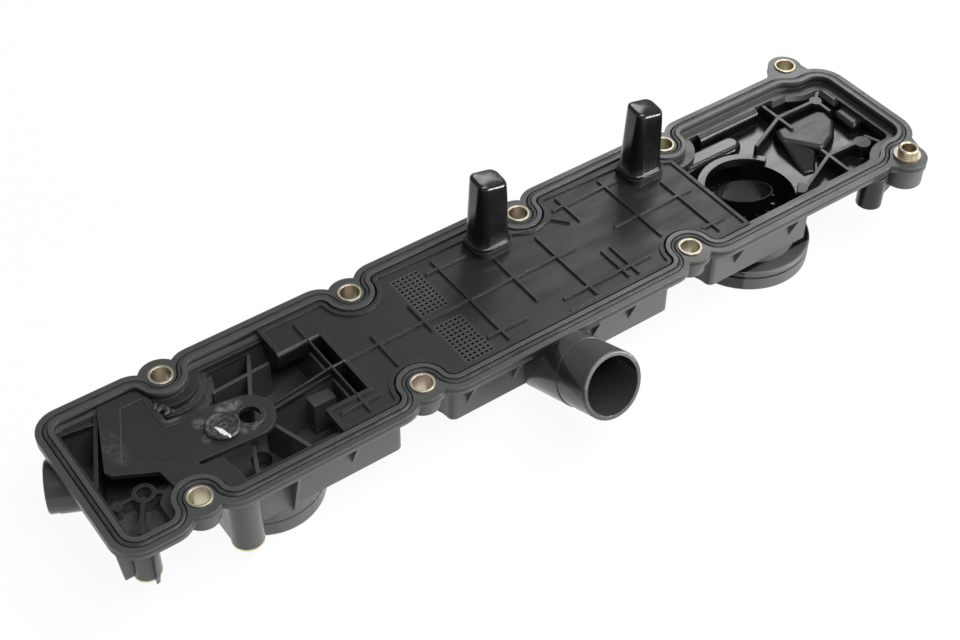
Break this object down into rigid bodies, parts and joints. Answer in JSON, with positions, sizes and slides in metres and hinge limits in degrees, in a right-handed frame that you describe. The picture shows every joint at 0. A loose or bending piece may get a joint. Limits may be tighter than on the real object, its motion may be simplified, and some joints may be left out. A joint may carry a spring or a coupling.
{
  "type": "engine valve cover",
  "caption": "Long moulded engine valve cover, joint face up: bolt flange with seal groove, oil separator plate, drain cups, round housings and hose spigots.",
  "frame": {"origin": "Midway between the two middle rear bolt sleeves, on the joint plane that meets the cylinder head.", "axes": "+Z points out of the joint face, away from the cover's outer side, because the picture shows the cover lying on its outer side. +X runs along the engine to the end with the two bolt ears. +Y points to the side with the two drain cups, away from the large hose tube."},
  "size_m": [0.4275, 0.1281, 0.0824],
  "materials": {
    "nylon": "matte black glass-filled nylon",
    "nylon_plate": "matte charcoal nylon, slightly greyer than the shell",
    "gloss_nylon": "glossy black nylon",
    "rubber": "black moulded rubber",
    "zinc_steel": "pale yellow passivated zinc on steel",
    "spring_steel": "bright spring steel",
    "brass": "plain brass"
  },
  "bodies": {
    "root": {"cover_shell": "nylon", "separator_baffle": "nylon_plate", "deflector_plate": "nylon_plate", "drain_cup_left": "gloss_nylon", "drain_cup_right": "gloss_nylon", "joint_gasket": "rubber", "locating_sleeve": "zinc_steel", "sleeve_ear_rear": "zinc_steel", "sleeve_rear_left": "zinc_steel", "sleeve_rear_mid_left": "zinc_steel", "sleeve_rear_mid_right": "zinc_steel", "sleeve_rear_right": "zinc_steel", "sleeve_front_left": "zinc_steel", "sleeve_front_mid": "zinc_steel", "sleeve_front_right": "zinc_steel", "insert_left": "brass", "insert_corner": "brass", "insert_right": "brass", "valve_cap": "nylon", "valve_membrane": "rubber", "valve_spring": "spring_steel"}
  },
  "joints": []
}
